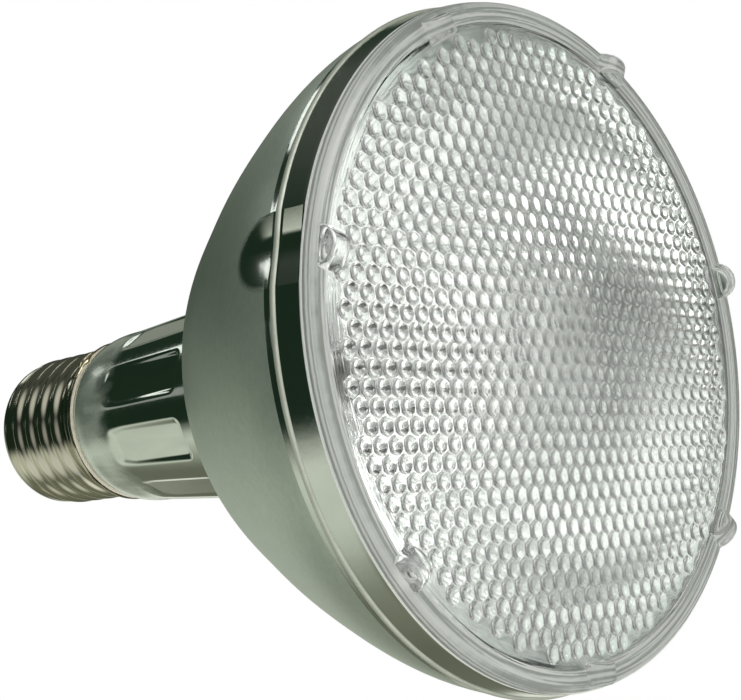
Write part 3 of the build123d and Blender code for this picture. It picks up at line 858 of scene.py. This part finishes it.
# --------------------------------------------------- finishes of the CAD nodes
QUARTZ = clear_glass("quartz", (0.99, 0.99, 0.99), 0.0, 0.000004)
ALUMINA = dull("sintered_alumina", (0.86, 0.84, 0.79), (0.78, 0.76, 0.70), (0.35, 0.55), 900.0, 0.00001, 0.5)
FINISH = {
    "lens_seal": dull("lens_bond", (0.96, 0.96, 0.95), (0.92, 0.93, 0.91), (0.3, 0.5), 300.0, 0.000004),
    "base_insulator": None,
    "center_contact": metal("contact_brass", (0.78, 0.72, 0.56), 0.16, 0.34, (1, 1, 1), 700.0, 0.00002),
    "contact_solder": metal("tin_solder", (0.70, 0.70, 0.68), 0.22, 0.45, (1, 1, 1), 500.0, 0.00005),
    "burner_envelope": QUARTZ,
    "arc_tube": ALUMINA,
    "front_electrode": metal("tungsten", (0.42, 0.41, 0.40), 0.25, 0.45),
    "back_electrode": metal("tungsten_rod", (0.42, 0.41, 0.40), 0.25, 0.45),
    "frit_seals": dull("sealing_frit", (0.74, 0.70, 0.62), (0.60, 0.56, 0.48)),
    "return_wire": metal("molybdenum_wire", (0.55, 0.54, 0.53), 0.2, 0.4),
    "support_wire": metal("molybdenum_stub", (0.55, 0.54, 0.53), 0.2, 0.4),
    "getter_strip": metal("getter_alloy", (0.34, 0.33, 0.32), 0.4, 0.6),
    "pinch_foils": metal("molybdenum_foil", (0.60, 0.59, 0.58), 0.15, 0.35),
    "pinch_pins": metal("molybdenum_pin", (0.52, 0.51, 0.50), 0.25, 0.45),
    "pinch_cement": dull("ceramic_cement", (0.83, 0.81, 0.76), (0.70, 0.68, 0.62)),
    "heat_shield": metal("bright_aluminium", (0.80, 0.80, 0.80), 0.14, 0.3, (1, 1, 1), 600.0),
    "crimp_sleeves": metal("nickel_sleeve", (0.70, 0.68, 0.62), 0.2, 0.4),
    "center_lead": metal("nickel_lead", (0.68, 0.66, 0.60), 0.2, 0.4),
    "side_lead": metal("nickel_side_lead", (0.68, 0.66, 0.60), 0.2, 0.4),
    "lead_sleeve": dull("glass_fibre_sleeve", (0.86, 0.85, 0.80), (0.74, 0.72, 0.66)),
}


def black_glass():
    s = Nodes("black_vitrite")
    b = s.principled(Coat_Weight=0.6, Coat_Roughness=0.05)
    vec = s.coords()
    wide = s.noise(vec, 160.0, 4.0)
    s.link(s.ramp(wide, (0.3, (0.006, 0.006, 0.008)), (0.75, (0.022, 0.020, 0.024))), b.inputs["Base Color"])
    s.link(s.span(wide, 0.10, 0.26), b.inputs["Roughness"])
    s.link(s.bump(wide, 0.5, 0.00015), b.inputs["Normal"])
    return s.mat


FINISH["base_insulator"] = black_glass()
for name, mat in FINISH.items():
    me = NODES[name].data
    me.materials.clear()
    me.materials.append(mat)

# ----------------------------------------------------------------------- stage
def floor():
    s = Nodes("pale_floor")
    d = s.add("ShaderNodeBsdfDiffuse")
    d.inputs["Color"].default_value = (0.86, 0.86, 0.85, 1)
    t = s.add("ShaderNodeBsdfTransparent")
    g = s.add("ShaderNodeNewGeometry")
    mix = s.add("ShaderNodeMixShader")
    s.link(g.outputs["Backfacing"], mix.inputs["Fac"])
    glow = s.add("ShaderNodeEmission")
    glow.inputs["Color"].default_value = (0.86, 0.86, 0.84, 1)
    glow.inputs["Strength"].default_value = 0.42
    both = s.add("ShaderNodeAddShader")
    s.link(d.outputs["BSDF"], both.inputs[0])
    s.link(glow.outputs["Emission"], both.inputs[1])
    s.link(both.outputs["Shader"], mix.inputs[1])
    s.link(t.outputs["BSDF"], mix.inputs[2])
    s.link(mix.outputs["Shader"], s.out.inputs["Surface"])
    w = 3000.0
    ob = make("floor", [(-w, -w, LIFT), (w, -w, LIFT), (w, w, LIFT), (-w, w, LIFT)], [(0, 1, 2, 3)], [s.mat])
    ob.visible_glossy = ob.visible_transmission = ob.visible_diffuse = ob.visible_shadow = False


floor()


def softbox(name, d, dist, w, h, radiance, colour=(1, 1, 1), tall=UP):
    data = bpy.data.lights.new(name, "AREA")
    data.shape = "RECTANGLE"
    data.size, data.size_y = w, h
    data.energy = radiance * math.pi * w * h
    data.color = colour
    ob = bpy.data.objects.new(name, data)
    SCENE.collection.objects.link(ob)
    z = d.normalized()
    y = (tall - z * tall.dot(z)).normalized()
    x = y.cross(z)
    mat = Matrix((x, y, z)).transposed().to_4x4()
    mat.translation = Vector((0, 0, 0.06)) + z * dist
    ob.matrix_world = mat
    return ob


softbox("softbox_left", toward(-0.83, 0.45, -0.33), 0.9, 0.40, 0.075, 1.6)
softbox("softbox_back", toward(-0.50, 0.66, -0.56), 0.9, 0.34, 0.14, 1.6)
softbox("softbox_side", toward(-0.98, 0.04, -0.19), 0.9, 0.15, 0.085, 0.42)


def world():
    """Studio: pale table, dark walls and soft round lights in front."""
    w = bpy.data.worlds.new("studio")
    SCENE.world = w
    w.use_nodes = True
    t = w.node_tree
    t.nodes.clear()
    look = t.nodes.new("ShaderNodeTexCoord").outputs["Generated"]

    def share(d, lo, hi):
        n = t.nodes.new("ShaderNodeVectorMath")
        n.operation = "DOT_PRODUCT"
        n.inputs[1].default_value = d
        t.links.new(look, n.inputs[0])
        m = t.nodes.new("ShaderNodeMapRange")
        m.interpolation_type = "SMOOTHSTEP"
        m.inputs["From Min"].default_value = lo
        m.inputs["From Max"].default_value = hi
        t.links.new(n.outputs["Value"], m.inputs["Value"])
        return m.outputs["Result"]

    def times(a, b):
        n = t.nodes.new("ShaderNodeMath")
        n.operation = "MULTIPLY"
        t.links.new(a, n.inputs[0])
        t.links.new(b, n.inputs[1])
        return n.outputs["Value"]

    def over(fac, under, colour):
        n = t.nodes.new("ShaderNodeMix")
        n.data_type = "RGBA"
        t.links.new(fac, n.inputs[0])
        if isinstance(under, tuple):
            n.inputs[6].default_value = (*under, 1)
        else:
            t.links.new(under, n.inputs[6])
        if isinstance(colour, tuple):
            n.inputs[7].default_value = (*colour, 1)
        else:
            t.links.new(colour, n.inputs[7])
        return n.outputs[2]

    def plus(under, d, strength):
        n = t.nodes.new("ShaderNodeMix")
        n.data_type = "RGBA"
        n.blend_type = "ADD"
        t.links.new(share(d, 0.883, 0.985), n.inputs[0])
        t.links.new(under, n.inputs[6])
        n.inputs[7].default_value = (strength, strength, strength * 0.985, 1)
        return n.outputs[2]

    table = over(share(-UP, 0.70, 0.92), (0.90, 0.93, 0.83), (0.28, 0.29, 0.22))
    table = over(times(share(-BACK, 0.14, 0.50), share(-UP, 0.42, 0.62)), table, (0.20, 0.21, 0.16))
    col = over(share(UP, 0.45, 0.9), (0.018, 0.036, 0.022), (0.12, 0.13, 0.115))
    col = over(times(share(-BACK, 0.30, 0.62), share(-UP, -0.10, 0.36)), col, (0.70, 0.76, 0.65))
    strip = times(share(UP, 0.20, 0.30), share(-UP, -0.50, -0.40))
    col = over(times(share(-BACK, 0.70, 0.86), strip), col, (0.29, 0.31, 0.26))
    col = over(share(RIGHT * 0.12 - UP, 0.18, 0.42), col, table)
    col = over(share(toward(0.727, 0.146, 0.671), 0.02, 0.30), col, (0.022, 0.024, 0.021))
    for d, strength in (((0.56, 0.65, 0.52), 3.8), ((0.33, -0.14, 0.93), 1.25), ((0.67, -0.40, 0.62), 0.78),
                        ((0.96, -0.14, 0.26), 0.65), ((-0.12, 0.70, 0.70), 1.0), ((-0.06, 0.07, 0.99), 0.66),
                        ((-0.02, -0.55, 0.84), 1.04), ((0.44, -0.80, 0.40), 1.41), ((0.83, -0.55, -0.08), 0.74),
                        ((0.94, 0.07, -0.33), 0.16)):
        col = plus(col, toward(*d).normalized(), strength)
    room = t.nodes.new("ShaderNodeBackground")
    t.links.new(col, room.inputs["Color"])
    white = t.nodes.new("ShaderNodeBackground")
    white.inputs["Color"].default_value = (1, 1, 1, 1)
    mix = t.nodes.new("ShaderNodeMixShader")
    path = t.nodes.new("ShaderNodeLightPath")
    t.links.new(path.outputs["Is Camera Ray"], mix.inputs["Fac"])
    t.links.new(room.outputs["Background"], mix.inputs[1])
    t.links.new(white.outputs["Background"], mix.inputs[2])
    out = t.nodes.new("ShaderNodeOutputWorld")
    t.links.new(mix.outputs["Shader"], out.inputs["Surface"])


world()
SCENE.view_settings.view_transform = "Standard"
SCENE.view_settings.look = "None"
SCENE.cycles.max_bounces = 18
SCENE.cycles.glossy_bounces = 9
SCENE.cycles.transmission_bounces = 16
